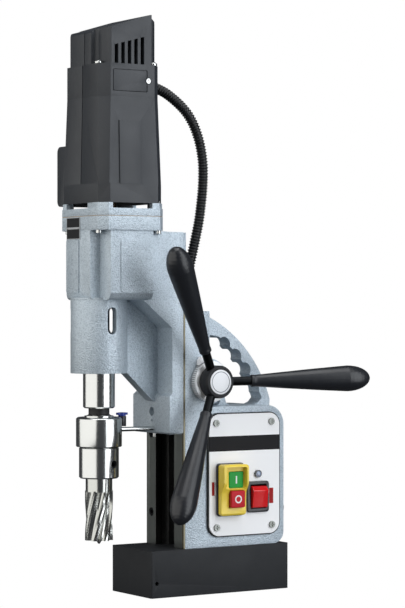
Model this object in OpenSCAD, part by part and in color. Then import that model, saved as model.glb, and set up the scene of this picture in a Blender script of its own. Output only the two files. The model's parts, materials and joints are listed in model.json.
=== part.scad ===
/* [Magnet base] */
// Length of the magnet along the machine's depth
base_len = 165; // [158:1:180]
// Width of the magnet
base_w = 78; // [76:1:90]
// Width of each coil slot in the underside
slot_w = 14; // [10:1:15]

/* [Stand] */
// Width of the stand casting and of the slide plate
body_w = 72; // [70:1:74]
// Wall thickness of the switch box
wall = 6; // [5:0.5:7]
// Half thickness of the carry handle
handle_half = 10; // [8:0.5:12]
// Radius of the finger scallops in the carry handle
finger_r = 8; // [6:0.5:9]

/* [Feed] */
// Module of the feed rack and pinion
rack_m = 1.5; // [1.5:0.5:1.5]
// Length of one feed lever from the hub centre to its tip
lever_len = 163.8; // [140:1:180]
// Outward cone angle of the feed levers
lever_cone = 18.7; // [14:0.1:22]
// Angle of the first lever above the horizontal
lever_turn = 1; // [-5:1:5]
// Largest diameter of a lever grip
grip_d = 26.5; // [22:0.5:30]

/* [Drive] */
// Radius of the gearbox barrel around the spindle
barrel_r = 28.5; // [27.5:0.5:30]
// Number of ventilation slots on each side of the motor cap
vent_n = 5; // [3:1:5]
// Width of one ventilation slot
vent_w = 4.1; // [2.5:0.1:5]

/* [Tooling] */
// Cutting diameter of the annular cutter
cutter_d = 28; // [24:1:36]
// Number of flutes on the cutter
flute_n = 6; // [4:1:8]
// Twist of the flutes over their length
flute_twist = 62; // [30:1:80]

/* [Hidden] */

base_h = 47;
hw = body_w / 2;            // half width of the stand
yf = -32;                   // seat of the guide rails on the column
yr = -43;                   // running face of the guide rails
lip = 3;                    // width of the casting lip beside each rail
col_top = 286.5;            // top of the column
box_top = 189.5;            // top of the switch box
box_back = 78.8;            // rear face of the switch box
py = -13.7;                 // feed axis, depth
pz = 215.3;                 // feed axis, height
pin_z = 20;                 // teeth on the feed pinion
pin_r = rack_m * pin_z / 2; // pitch radius of the feed pinion
rack_y = py - pin_r;        // pitch line of the rack
shaft_r = 8;
sy = -120.4;                // spindle axis, depth
my = -105;                  // motor axis, depth
lx = -19.722;               // layshaft axis
ly = -108.324;
mesh_a = atan2(my - ly, -lx);      // direction from the layshaft to the motor axis
mesh_b = atan2(ly - sy, lx);       // direction from the spindle to the layshaft
panel_y = [-14.2, 71.5];
panel_z = [58.1, 181.8];
px0 = hw;                   // face of the switch box
gask = 1;
plate_t = 2.2;
px1 = hw + gask + plate_t;  // outer face of the panel
scr = [[-6, 172.8], [61.3, 173], [-5.5, 66.9], [61.8, 66.9]];
rail_scr = [[-27, 80], [-27, 161], [-27, 242], [26, 104], [26, 230]];   // [x, height] of the rail screws
cone_x = 48;                // where the lever axes cross the feed axis
fs_p = [[28, -31.5], [-33, -31.5], [38.5, 30.3], [-38.5, 30.3]];     // flange screws, from the motor axis
cs_p = [[24, -29.5], [33.5, 27.6], [-33.5, 27.6], [-34, -20]];             // cap screws, from the motor axis
rk_z = 96.5;                // height of the rocker's pivot

// conduit route in the plane x = 0, as [depth, height]
hose = [[-60, 515.2], [-52, 512.5], [-43, 509], [-34.5, 504], [-25, 497.2], [-17, 489.7], [-10.5, 481], [-5.6, 471.5],
        [-1.8, 461.4], [0.8, 451], [2.3, 441.5], [3, 431.5], [2.6, 416], [1.1, 400.7], [-1.9, 380], [-6, 362],
        [-10, 346], [-13, 334], [-15.5, 322], [-17.4, 310], [-18.6, 299], [-19, 295]];
hose_r = 5.4;

// ---------- helpers ----------
// extrude a [depth, height] outline across the width, from x0 to x1
module across(x0, x1) { translate([x0, 0, 0]) rotate([90, 0, 90]) linear_extrude(height = x1 - x0) children(); }
// extrude an [x, height] outline along the depth, from y0 to y1
module along(y0, y1) { translate([0, y1, 0]) rotate([90, 0, 0]) linear_extrude(height = y1 - y0) children(); }
// cylinder along x at [depth, height]
module xcyl(r, x0, x1, y, z) { translate([x0, y, z]) rotate([0, 90, 0]) cylinder(r = r, h = x1 - x0, $fn = 64); }
// cylinder along y at [x, height]
module ring_x(ro, ri, x0, x1, y, z) difference() { xcyl(ro, x0, x1, y, z); xcyl(ri, x0 - 1, x1 + 1, y, z); }
module ycyl(r, y0, y1, x, z) { translate([x, y0, z]) rotate([-90, 0, 0]) cylinder(r = r, h = y1 - y0, $fn = 48); }
module zcyl(r, z0, z1, x = 0, y = 0) { translate([x, y, z0]) cylinder(r = r, h = z1 - z0, $fn = 64); }
module box(a, b) { translate(a) cube([b[0] - a[0], b[1] - a[1], b[2] - a[2]]); }
// rectangle with circular corners, from points a to b
module rrect(a, b, r) {
    translate([a[0] + r, a[1]]) square([b[0] - a[0] - 2 * r, b[1] - a[1]]);
    translate([a[0], a[1] + r]) square([b[0] - a[0], b[1] - a[1] - 2 * r]);
    for (x = [a[0] + r, b[0] - r], y = [a[1] + r, b[1] - r]) translate([x, y]) circle(r = r, $fn = 48);
}
// rectangle with chamfered corners, half sizes a by b
function crect(a, b, c) = [[a - c, -b], [a, -b + c], [a, b - c], [a - c, b], [-a + c, b], [-a, b - c], [-a, -b + c], [-a + c, -b]];
// involute gear outline
function inv(r, a) = [r * (cos(a) + a * PI / 180 * sin(a)), r * (sin(a) - a * PI / 180 * cos(a))];
function invang(r, rb) = let(t = sqrt(max(0, (r * r) / (rb * rb) - 1))) t * 180 / PI - atan(t);
function pol(r, a) = [r * cos(a), r * sin(a)];
function gear_pts(m, n, ad = 1, back = 0.12, k = 5) =
    let(rp = m * n / 2, rb = rp * cos(20), ra = rp + ad * m, rf = max(rp - 1.25 * m, m), r0 = max(rb, rf),
        th = 90 / n - back / rp * 90 / PI)
    [for (i = [0:n - 1]) let(c = 360 * i / n)
        each concat(
            [pol(rf, c - th - invang(rp, rb) + invang(r0, rb) - 180 / n * 0.12)],
            [for (j = [0:k]) let(r = r0 + (ra - r0) * j / k) pol(r, c - th - invang(rp, rb) + invang(r, rb))],
            [for (j = [k:-1:0]) let(r = r0 + (ra - r0) * j / k) pol(r, c + th + invang(rp, rb) - invang(r, rb))],
            [pol(rf, c + th + invang(rp, rb) - invang(r0, rb) + 180 / n * 0.12)])];
module gear2d(m, n, turn = 0, ad = 1) { rotate(turn) polygon(gear_pts(m, n, ad)); }

// ---------- stand ----------
module magnet_base() color([0.17, 0.18, 0.2]) difference() {
    linear_extrude(height = base_h) polygon(crect(base_w / 2, base_len / 2, 1));
    translate([0, 0, -1]) linear_extrude(height = 31) difference() {
        square([46 + slot_w + 2, 134 + slot_w], center = true);
        square([46 - slot_w + 2, 134 - slot_w], center = true);
    }
    for (x = [-24, 24], y = [-18, 56]) zcyl(4, 33, base_h + 1, x, y);
    xcyl(2.1, base_w / 2 - 12, base_w / 2 + 1, -76, 14.5);
}
module coil_ring(z0, z1, g) translate([0, 0, z0]) linear_extrude(height = z1 - z0) difference() {
    square([48 + slot_w - 2 * g, 134 + slot_w - 2 * g], center = true);
    square([48 - slot_w + 2 * g, 134 - slot_w + 2 * g], center = true);
}
module magnet_coil() color([0.72, 0.4, 0.2]) coil_ring(7, 29, 0.8);
module magnet_potting() color([0.1, 0.1, 0.11]) coil_ring(0.2, 7, 0);

hc = [-53.84, 153.88];      // centre of the handle's arc
ho = 139;                   // outer radius of the handle
hi = 127.2;                 // radius of the finger ridges
module handle2d() difference() {
    union() {
        polygon(concat([[-30, 286.5], [-3, 286.5], [1.5, 285], [4, 281.5]],
            [for (a = [65:-3:15.5]) hc + ho * [cos(a), sin(a)]],
            [[78.6, 186], [78.6, 178], [-30, 178]]));
        translate([-3, 283.5]) circle(r = 3, $fn = 24);
    }
    // main opening
    difference() {
        polygon([[2, 259], [6, 262], [18, 259.5], [25, 262], [60, 240], [70, 210], [69, 196], [65, 191.5], [60, 189.5],
                 [29, 189.5], [25, 191.5], [23.5, 196], [22, 204], [17, 212], [9, 222], [3, 232], [1, 245]]);
        difference() {
            translate(hc) circle(r = 200, $fn = 120);
            translate(hc) circle(r = hi, $fn = 120);
            for (a = [52.3, 43.7, 35.2]) translate(hc + (hi - finger_r + 4.6) * [cos(a), sin(a)]) circle(r = finger_r, $fn = 40);
            translate(hc + 118.5 * [cos(24.5), sin(24.5)]) circle(r = 12, $fn = 48);
            translate(hc + 118 * [cos(20), sin(20)]) circle(r = 12, $fn = 48);
        }
    }
    // small opening in front of the strut
    translate([11.5, 195]) circle(r = 6, $fn = 32);
    polygon([[5.5, 195], [17.5, 195], [17.5, 200], [14, 206], [5.5, 206]]);
}
module stand_solid() {
    box([-hw, -41, base_h], [hw, -12, col_top]);
    across(-hw, hw) union() {
        translate([-41, base_h]) square([box_back - 20 + 41, box_top - base_h]);
        translate([-41, base_h + 12]) square([box_back + 41, box_top - base_h - 32]);
        translate([box_back - 20, box_top - 20]) circle(r = 20, $fn = 96);
        translate([box_back - 12, base_h + 12]) circle(r = 12, $fn = 96);
        translate([box_back - 30, base_h]) square([18, 30]);
    }
    xcyl(23.5, -hw, hw, py, pz);
}
module stand_housing() color([0.6, 0.67, 0.73]) difference() {
    stand_solid();
    box([-hw + lip, -50, base_h - 1], [hw - lip, yf, col_top + 1]);
    box([-10.5, -40, base_h - 1], [10.5, rack_y + rack_m + 1, col_top + 1]);
    xcyl(pin_r + rack_m + 0.7, -10.5, 10.5, py, pz);
    xcyl(11, -hw - 1, hw + 1, py, pz);
    // switch box cavity, open behind the panel
    across(-hw + wall, hw - wall) rrect([yf + 6, base_h + wall], [box_back - wall, box_top - wall], 13);
    across(hw - wall - 1, hw + 1) union() {
        translate([2, 60]) square([53, 119]);
        translate([-10, 76]) square([76, 88]);
    }
    for (x = [-24, 24], y = [-18, 56]) { zcyl(4.2, base_h - 1, base_h + wall + 1, x, y); zcyl(7.2, base_h + wall, base_h + wall + 14, x, y); }
    for (p = rail_scr) ycyl(2.5, yf - 1, -25.5, p[0], p[1]);
    for (p = scr) xcyl(2, hw - wall - 4, hw + 1, p[0], p[1]);
    zcyl(4.6, 262, col_top + 1, 0, -19);
    ycyl(8, box_back - wall - 1, box_back + 1, 0, 80);
}
module carry_handle() color([0.6, 0.67, 0.73]) difference() {
    across(-handle_half, handle_half) handle2d();
    stand_solid();
}
module guide_rails() color([0.2, 0.21, 0.23]) difference() {
    union() {
        translate([0, 0, base_h]) linear_extrude(height = col_top + 0.5 - base_h)
            polygon([[-hw, yr], [-18, yr], [-24, yf], [-hw + lip, yf], [-hw + lip, -41], [-hw, -41]]);
        translate([0, 0, base_h]) linear_extrude(height = col_top + 0.5 - base_h)
            polygon([[18, yr], [hw - lip, yr], [hw - lip, yf], [24, yf]]);
    }
    for (p = rail_scr) { ycyl(2.6, yr - 1, yf + 1, p[0], p[1]); ycyl(4.6, yr - 1, -38, p[0], p[1]); }
}
module rail_screws() color([0.12, 0.12, 0.13]) for (p = rail_scr) difference() {
    union() { ycyl(4.25, -42.6, -38, p[0], p[1]); ycyl(2.45, -38, -27, p[0], p[1]); }
    translate([p[0], -39.8, p[1]]) rotate([90, 0, 0]) cylinder(r = 2.3, h = 4, $fn = 6);
}
module gib_strip() color([0.7, 0.56, 0.28]) box([hw - lip, yr, base_h], [hw, -41, col_top]);
module base_bolts() color([0.25, 0.25, 0.27]) for (x = [-24, 24], y = [-18, 56]) difference() {
    union() { zcyl(3.95, 35, base_h + wall, x, y); zcyl(6.5, base_h + wall, base_h + wall + 8, x, y); }
    translate([x, y, base_h + wall + 4]) cylinder(r = 3.4, h = 5, $fn = 6);
}
module panel_plate() color([0.93, 0.94, 0.95]) difference() {
    across(px0 + gask, px1) rrect([panel_y[0], panel_z[0]], [panel_y[1], panel_z[1]], 12);
    box([px0, -3.4, 83], [px1 + 1, 23, 127]);
    box([px0, 32.7, 82.6], [px1 + 1, 55.7, 110.4]);
    xcyl(3.2, px0, px1 + 1, 44.3, 119.8);
    for (p = scr) xcyl(2.2, px0, px1 + 1, p[0], p[1]);
}
module panel_gasket() color([0.1, 0.1, 0.11]) difference() {
    across(px0, px0 + gask) rrect([panel_y[0] - 0.9, panel_z[0] - 0.9], [panel_y[1] + 0.9, panel_z[1] + 0.9], 12.9);
    box([px0 - 1, 3, 74], [px0 + 2, 56, 165]);
    box([px0 - 1, -5, 80], [px0 + 2, 60, 160]);
    for (p = scr) xcyl(2.2, px0 - 1, px0 + 2, p[0], p[1]);
}
module panel_screws() color([0.8, 0.81, 0.82]) for (p = scr) difference() {
    union() { xcyl(3.5, px1, px1 + 1.6, p[0], p[1]); xcyl(1.95, hw - wall - 3, px1, p[0], p[1]); }
    translate([px1 + 0.8, p[0] - 0.4, p[1] - 2.2]) cube([1, 0.8, 4.4]);
    translate([px1 + 0.8, p[0] - 2.2, p[1] - 0.4]) cube([1, 4.4, 0.8]);
}
// two button switch: black base, yellow guard
module switch_base() color([0.12, 0.13, 0.14]) difference() {
    union() {
        across(px1, px1 + 3) rrect([-6.1, 78.3], [25.8, 132], 3);
        box([14, -3, 83.4], [px1, 22.6, 126.6]);
    }
    box([34, 3.9, 106.8], [px1 + 4, 21.6, 123.8]);
    box([34, 3.9, 87], [px1 + 4, 21.1, 104.8]);
}
module switch_frame() color([0.94, 0.8, 0.2]) difference() {
    intersection() {
        across(px1 + 3, px1 + 14) rrect([-5.2, 79.2], [24.7, 131], 3);
        along(-10, 40) polygon([[px1 + 3, 79], [px1 + 7.4, 79], [px1 + 8.6, 81], [px1 + 8.6, 101.5], [px1 + 10, 104.5], [px1 + 13.4, 110.5], [px1 + 14, 112.5],
                                [px1 + 14, 129.4], [px1 + 12.6, 131], [px1 + 3, 131]]);
    }
    across(px1 + 2, px1 + 15) rrect([3.9, 106.8], [21.6, 123.8], 1.5);
    across(px1 + 8, px1 + 15) rrect([-1.4, 106.2], [22.7, 128.2], 2);
    box([px1 + 2, 3.9, 87], [px1 + 15, 21.1, 104.8]);
}
module start_button() color([0.25, 0.66, 0.35]) union() {
    across(37, px1 + 8.6) rrect([4.3, 107.2], [21.2, 123.4], 1.5);
}
module stop_button() color([0.82, 0.12, 0.17]) union() {
    across(37, px1 + 13) rrect([4.3, 87.4], [20.7, 104.4], 1.2);
}
module rocker_frame() color([0.1, 0.1, 0.11]) difference() {
    union() {
        across(px1, px1 + 2.3) rrect([30.8, 80.4], [57, 112.3], 3);
        box([18, 33, 82.9], [px1, 55.4, 110.1]);
    }
    box([20, 34.8, rk_z - 12.3], [px1 + 3, 54.2, rk_z + 12.3]);
    ycyl(1.85, 33.5, 55, 37, rk_z);
}
module magnet_rocker() color([0.85, 0.13, 0.15]) union() {
    along(35.3, 53.7) polygon([[37 + 5, rk_z + 10.5], [37 + 6.4, rk_z + 9.6], [37 + 9.2, rk_z + 6.4], [37 + 8.2, rk_z + 2], [37 + 6.9, rk_z - 10.6],
             [37 + 5.6, rk_z - 11.5], [37 - 1, rk_z - 11.6], [37 - 5, rk_z - 9], [37 - 6, rk_z], [37 - 5, rk_z + 9], [37 - 1, rk_z + 11]]);
    ycyl(1.8, 33.8, 54.7, 37, rk_z);
}
module indicator_led() color([0.1, 0.13, 0.4]) union() {
    xcyl(3.15, px0 - 6, px1 + 0.6, 44.3, 119.8);
    ring_x(3.8, 2.9, px1, px1 + 2.4, 44.3, 119.8);
    translate([px1 + 0.6, 44.3, 119.8]) rotate([0, 90, 0]) rotate_extrude($fn = 64) polygon([[0, -0.1], [2.9, -0.1], [2.9, 0.8], [2.5, 1.5], [1.8, 2.1], [0.9, 2.45], [0, 2.5]]);
}
module circuit_board() color([0.1, 0.4, 0.2]) union() {
    box([-12, -16, 66], [-10.4, 62, 172]);
    for (y = [-10, 56], z = [72, 166]) xcyl(3, -hw + wall, -12, y, z);
    box([-10.4, 4, 132], [12, 40, 166]);
    box([-10.4, -10, 74], [4, 2, 110]);
    xcyl(7, -10.4, 14, 50, 150);
}
module pinion_bushings() color([0.76, 0.6, 0.33]) for (s = [0, 1]) difference() {
    xcyl(11, s ? 11 : -hw, s ? hw : -11, py, pz);
    xcyl(shaft_r + 0.05, -hw - 1, hw + 1, py, pz);
}
module index_plate() color([0.9, 0.91, 0.93]) difference() {
    across(hw, hw + 6.5) polygon([[-28, 227], [-27.4, 237], [-25.4, 240.4], [-18, 241.6], [-16, 234], [-22, 228]]);
    xcyl(21.6, hw - 1, hw + 9, py, pz);
}
module mains_gland() color([0.12, 0.12, 0.13]) difference() {
    union() {
        ycyl(8, box_back - wall - 3, box_back, 0, 80);
        translate([0, box_back, 80]) rotate([-90, 0, 0]) cylinder(r = 12, h = 5, $fn = 6);
        ycyl(9.5, box_back + 5, box_back + 14, 0, 80);
        ycyl(7.5, box_back + 14, box_back + 20, 0, 80);
    }
    ycyl(4.2, box_back - 20, box_back + 30, 0, 80);
}
module conduit_gland_lower() color([0.12, 0.12, 0.13]) difference() {
    union() {
        zcyl(4.6, 265, col_top, 0, -19);
        zcyl(6.4, col_top, col_top + 7.7, 0, -19);
    }
    zcyl(3.2, 260, 300, 0, -19);
}

// ---------- feed capstan ----------
module pinion_shaft() color([0.75, 0.76, 0.78]) union() {
    xcyl(shaft_r, -hw - 0.4, cone_x + 2, py, pz);
    xcyl(11.5, -hw - 4, -hw - 0.4, py, pz);
    translate([-9.5, py, pz]) rotate([90, 0, 90]) linear_extrude(height = 19) gear2d(rack_m, pin_z, 180 / pin_z + 180);
}
module scale_ring() color([0.78, 0.8, 0.82]) difference() {
    xcyl(20.8, hw + 1.2, hw + 8.6, py, pz);
    xcyl(shaft_r, hw, hw + 10, py, pz);
}
module lever_axis(k) translate([cone_x, py, pz]) rotate([lever_turn + 120 * k, 0, 0]) rotate([0, 0, -lever_cone]) rotate([-90, 0, 0]) children();
module capstan_hub() color([0.13, 0.14, 0.15]) difference() {
    union() {
        xcyl(16.5, 45.7, 57.6, py, pz);
        translate([57.6, py, pz]) rotate([0, 90, 0]) cylinder(r1 = 16.5, r2 = 15.3, h = 1.8, $fn = 64);
        xcyl(13, hw + 8.6, 45.7, py, pz);
    }
    xcyl(shaft_r, 30, cone_x + 2, py, pz);
    for (k = [0:2]) lever_axis(k) translate([0, 0, 11]) cylinder(r = 4.5, h = 20, $fn = 48);
    xcyl(12.5, 58.6, 70, py, pz);
}
module hub_cap() color([0.9, 0.91, 0.93]) xcyl(12.4, 58.6, 59.9, py, pz);
module lever_rods() color([0.17, 0.18, 0.2]) for (k = [0:2]) lever_axis(k) translate([0, 0, 11]) cylinder(r = 4.5, h = lever_len - 41, $fn = 48);
module lever_grips() color([0.13, 0.14, 0.15]) for (k = [0:2]) lever_axis(k) difference() {
    rotate_extrude($fn = 72) polygon(concat(
        [[0, 38], [5.9, 38], [6.3, 38.5], [6.3, 41], [6.1, 42]],
        [for (t = [0:0.1:1]) let(s = 44 + (lever_len - 24 - 44) * t) [6.1 + (grip_d / 2 - 6.1) * (t * 0.82 + 0.18 * sin(90 * t) ), s]],
        [for (a = [10:10:80]) [grip_d / 2 * cos(a) , lever_len - 24 + 24 * sin(a)]],
        [[0, lever_len]]));
    translate([0, 0, 30]) cylinder(r = 4.5, h = lever_len - 60, $fn = 48);
}

// ---------- carriage ----------
// neck between the gearbox and the slide plate
module neck_solid() across(-hw, hw) polygon([[my + 20, 299.4], [my + 20, 297.7], [-90, 297.7], [-56.2, 269.5], [-56.2, 292], [-58, 296], [-58, 366], [-75, 367], [my + 20, 367]]);
module gear_housing() color([0.6, 0.67, 0.73]) difference() {
    union() {
        intersection() {
            translate([0, my, 297.7]) linear_extrude(height = 69.3)
                polygon([[-27, -37.5], [21, -37.5], [21, -26], [42, -26], [42, 23], [-42, 23], [-42, -26], [-27, -26]]);
            along(my - 50, my + 50) polygon([[-34, 297.7], [34, 297.7], [39, 299.6], [42, 304.5], [42, 367], [-42, 367], [-42, 304.5], [-39, 299.6]]);
            across(-50, 50) polygon([[my - 34.5, 297.7], [my + 23, 297.7], [my + 23, 367], [my - 37.5, 367], [my - 37.5, 303], [my - 36.6, 299.6]]);
        }
        for (s = [-1, 1]) across(s > 0 ? 41 : -43.2, s > 0 ? 43.2 : -41) rrect([my - 14.7, 305.6], [my + 14.1, 357.5], 2);
        neck_solid();
        translate([0, 0, 297.7]) linear_extrude(height = 2.3) intersection() { translate([0, sy]) circle(r = barrel_r, $fn = 96); translate([-40, sy - 40]) square([80, 30]); }
        along(my - 38.5, my - 36) rrect([-26, 304.9], [-0.9, 357.5], 1.5);
    }
    difference() {
        translate([0, my, 303]) linear_extrude(height = 70) polygon([[18.2, -33.4], [18.2, -22.5], [37.6, -22.5], [37.6, 19], [32, 19], [32, 33.4],
            [-32, 33.4], [-32, 19], [-37.6, 19], [-37.6, -22.5], [-19.5, -22.5], [-19.5, -33.4]]);
        zcyl(10.5, 300, 309, lx, ly);
    }
    zcyl(8, 303.5, 310, lx, ly);
    zcyl(21, 291.5, 304, 0, sy);
    for (p = fs_p) if (p[1] > 0) zcyl(3.7, 362.6, 368, p[0], my + p[1]);
}
module spindle_barrel() color([0.6, 0.67, 0.73]) difference() {
    union() {
        across(-7, 7) polygon([[-94, 226.5], [-62.6, 196.5], [-59.2, 195], [-59.2, 201], [-56.2, 204], [-56.2, 292], [-58, 296], [-94, 296]]);
        zcyl(barrel_r, 224.6, 297.7, 0, sy);
    }
    neck_solid();
    zcyl(21, 291.5, 304, 0, sy);
    zcyl(20, 240.5, 292, 0, sy);
    zcyl(21, 229, 241, 0, sy);
    zcyl(17, 220, 230, 0, sy);
    // three drift windows through the barrel wall
    for (a = [-2, 118, 238]) translate([0, sy, 0]) rotate([0, 0, a]) across(14, 40) union() {
        translate([-5, 268.6]) square([10, 17]);
        translate([0, 268.6]) circle(r = 5, $fn = 40);
        translate([0, 285.6]) circle(r = 5, $fn = 40);
    }
}
module slide_plate() color([0.6, 0.67, 0.73]) difference() {
    union() {
        intersection() {
            across(-hw, hw) polygon([[yr - 0.3, 164.5], [-44.8, 162.7], [-57.4, 162.7], [-59.2, 164.5], [-59.2, 201], [-56.2, 204], [-56.2, 292],
                                     [-58, 296], [-58, 366], [yr - 0.3, 366]]);
            along(-70, -40) polygon([[-hw + 1.5, 162], [hw - 1.5, 162], [hw, 164], [hw, 367], [-hw + 3, 367], [-hw + 3, 206], [-hw + 0.8, 203.6], [-hw, 201], [-hw, 164]]);
        }
        translate([0, 0, 163]) linear_extrude(height = 203)
            polygon([[-17.55, yr - 0.31], [-17.55, yr - 0.2], [-23.3, yf - 0.3], [23.3, yf - 0.3], [17.55, yr - 0.2], [17.55, yr - 0.31]]);
    }
    // the gearbox web is let into the bracket
    across(-7, 7) polygon([[-62.6, 194], [-59.2, 195], [-59.2, 201], [-56.2, 204], [-60, 205]]);
    ycyl(4.5, -60, -50, 0.5, 184.8);
    ycyl(1.3, -60, -54, 1, 175.6);
    zcyl(1.9, 160, 168, 0.5, -55.5);
    ycyl(2.35, -60, -50, 4.7, 167.8);
    box([-9.05, -34, 162], [9.05, yf + 1, 352]);
}
module feed_rack() color([0.55, 0.56, 0.58]) difference() {
    union() {
        box([-9, -34, 168], [9, rack_y - 1.25 * rack_m, 346]);
        across(-9, 9) polygon(concat([[rack_y - 1.25 * rack_m - 0.1, 168.5]],
            [for (i = [0:36]) let(z = pz + (i - 9) * PI * rack_m,
                h0 = PI * rack_m / 4 + 1.25 * rack_m * tan(20) - 0.05, h1 = PI * rack_m / 4 - rack_m * tan(20) - 0.05)
                each [[rack_y - 1.25 * rack_m, z - h0], [rack_y + rack_m, z - h1], [rack_y + rack_m, z + h1], [rack_y - 1.25 * rack_m, z + h0]]],
            [[rack_y - 1.25 * rack_m - 0.1, 345.5]]));
    }
    for (z = [180, 258, 336]) ycyl(2.5, -40, rack_y - 0.5, 0, z);
}
module gearbox_flange() color([0.6, 0.67, 0.73]) difference() {
    union() {
        translate([0, my, 367]) linear_extrude(height = 21.6) polygon(crect(44, 37.5, 8));
        // corner posts that carry the motor, with cooling gaps between them
        intersection() {
            translate([0, my, 388]) linear_extrude(height = 6) polygon(crect(43.4, 37, 8));
            union() {
                box([15, my - 45, 387], [50, my - 24.4, 395]);
                box([-50, my - 45, 387], [-28, my - 24.4, 395]);
                box([15, my + 21, 387], [50, my + 45, 395]);
                box([-50, my + 21, 387], [-15, my + 45, 395]);
            }
        }
    }
    translate([0, my, 374]) linear_extrude(height = 30) difference() {
        polygon(crect(37, 32, 6));
        circle(r = 14, $fn = 64);
        for (p = fs_p) translate(p) circle(r = 5, $fn = 40);
    }
    zcyl(15, 382, 400, 0, my);
    zcyl(11, 375, 383, 0, my);
    zcyl(6.2, 360, 380, 0, my);
    zcyl(8, 366, 373.2, lx, ly);
    for (p = fs_p) zcyl(2.1, 360, 394.5, p[0], my + p[1]);
    // sealing groove that marks the joint line
    translate([0, my, 380.7]) linear_extrude(height = 0.6) difference() { polygon(crect(50, 45, 8)); polygon(crect(43.5, 37, 8)); }
}
module flange_screws() color([0.6, 0.61, 0.63]) for (p = fs_p) translate([p[0], my + p[1], 0]) difference() {
    union() { zcyl(3.25, 363.8, 367); zcyl(2.05, 367, 396.5); }
    translate([0, 0, 362]) cylinder(r = 1.9, h = 3.4, $fn = 6);
}
// tapered box with chamfered corners: half sizes at the bottom and at the top
module taper(a0, b0, a1, b1, c0, c1, z0, z1) intersection() {
    along(my - 60, my + 60) polygon([[-a0, z0], [a0, z0], [a1, z1], [-a1, z1]]);
    across(-60, 60) polygon([[my - b0, z0], [my + b0, z0], [my + b1, z1], [my - b1, z1]]);
    translate([0, my, 0]) rotate([0, 0, 45]) taper_flank((a0 + b0 - c0) / sqrt(2), (a1 + b1 - c1) / sqrt(2), z0, z1);
    translate([0, my, 0]) rotate([0, 0, -45]) taper_flank((a0 + b0 - c0) / sqrt(2), (a1 + b1 - c1) / sqrt(2), z0, z1);
}
module taper_flank(d0, d1, z0, z1) along(-80, 80) polygon([[-d0, z0], [d0, z0], [d1, z1], [-d1, z1]]);
module motor_housing() color([0.2, 0.21, 0.23]) difference() {
    union() {
        translate([0, my, 394]) linear_extrude(height = 19) polygon(crect(43.5, 36.4, 9));
        taper(42.8, 36.2, 40.3, 34.3, 8, 9, 412, 499);
        zcyl(15.5, 490, 501.2, 0, my);
        // raised pad on the lever side
        along(my - 16.4, my + 8) polygon([[36, 412.5], [44.1, 412.5], [42.4, 475], [36, 475]]);
    }
    zcyl(32, 390, 494, 0, my);
    zcyl(11, 490, 502, 0, my);
    // parting groove down the front
    across(-0.6, 0.6) polygon([[my - 45, 413], [my - 35.1, 413], [my - 33.3, 500], [my - 45, 500]]);
    for (p = fs_p) zcyl(2.1, 393, 398, p[0], my + p[1]);
    for (s = [-1, 1]) box([s > 0 ? 20 : -37, my - 4, 484], [s > 0 ? 37 : -20, my + 4, 494.5]);
}
module cap_step() union() {
    translate([18, -60]) square([50, 35]);
    translate([13, -60]) square([50, 30]);
    translate([18, -30]) circle(r = 5, $fn = 48);
}
module motor_cap() color([0.2, 0.21, 0.23]) difference() {
    union() {
        translate([0, my, 499]) linear_extrude(height = 32.5) polygon(crect(40.3, 34.3, 9));
        intersection() {
            translate([0, my, 531]) linear_extrude(height = 60) difference() {
                polygon(crect(38, 32, 9));
                cap_step();
            }
            across(-45, 45) union() {
                polygon([[my - 32, 530], [my + 32, 530], [my + 32, 572.7], [my + 20.36, 581.3], [my - 28.46, 566.34], [my - 32, 561.56]]);
                translate([my + 23, 572.7]) circle(r = 9, $fn = 64);
                translate([my - 27, 561.56]) circle(r = 5, $fn = 64);
            }
        }
    }
    zcyl(27.5, 503.5, 531, 0, my);
    zcyl(16, 498, 504, 0, my);
    intersection() {
        box([-32, my - 22.5, 529], [32, my + 21.5, 561]);
        across(-45, 45) polygon([[my - 23, 529], [my + 22, 529], [my + 22, 570], [my - 23, 556]]);
    }
    for (i = [0:vent_n - 1]) let(y = my - 17.2 + i * 7.45)
        across(-60, 60) polygon([[y - vent_w / 2, 531.6], [y + vent_w / 2, 531.6], [y + vent_w / 2, 551.3 + i * 2], [y - vent_w / 2, 550.2 + i * 2]]);
    for (p = cs_p) { zcyl(p[1] < -25 ? 4.4 : 5.3, 531.5, 600, p[0], my + p[1]); zcyl(2.1, 509, 540, p[0], my + p[1]); }
    ycyl(6.05, my + 20, my + 40, 0, 517);
    box([-0.6, my - 40, 498], [0.6, my - 33.3, 531.5]);
    box([-0.6, my - 40, 531], [0.6, my - 31, 570]);
    // pockets of the brush covers and their screws
    for (s = [-1, 1]) {
        across(s > 0 ? 38.6 : -50, s > 0 ? 50 : -38.6) rrect([my - 22.6, 504], [my + 17.1, 525.9], 1.5);
        xcyl(3.2, s > 0 ? 38.6 : -50, s > 0 ? 50 : -38.6, my + 18.4, 515.4);
        xcyl(1.4, s > 0 ? 34 : -39, s > 0 ? 39 : -34, my + 18.4, 515.4);
    }
}
module cap_screws() color([0.72, 0.73, 0.75]) {
    for (p = cs_p) translate([p[0], my + p[1], 0]) difference() {
        union() { zcyl(4.1, 531.5, 533.6); translate([0, 0, 533.6]) cylinder(r1 = 4.1, r2 = 2.6, h = 1.2, $fn = 48); zcyl(2.05, 511, 531.5); }
        translate([-0.5, -2.6, 534]) cube([1, 5.2, 2]);
        translate([-2.6, -0.5, 534]) cube([5.2, 1, 2]);
    }
    for (s = [-1, 1]) difference() {
        union() {
            xcyl(2.5, s > 0 ? 38.6 : -40.4, s > 0 ? 40.4 : -38.6, my + 18.4, 515.4);
            xcyl(1.35, s > 0 ? 35 : -38.6, s > 0 ? 38.6 : -35, my + 18.4, 515.4);
        }
        box([s > 0 ? 39.8 : -42, my + 18.1, 513.6], [s > 0 ? 42 : -39.8, my + 18.7, 517.2]);
        box([s > 0 ? 39.8 : -42, my + 16.6, 515.1], [s > 0 ? 42 : -39.8, my + 20.2, 515.7]);
    }
}
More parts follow.
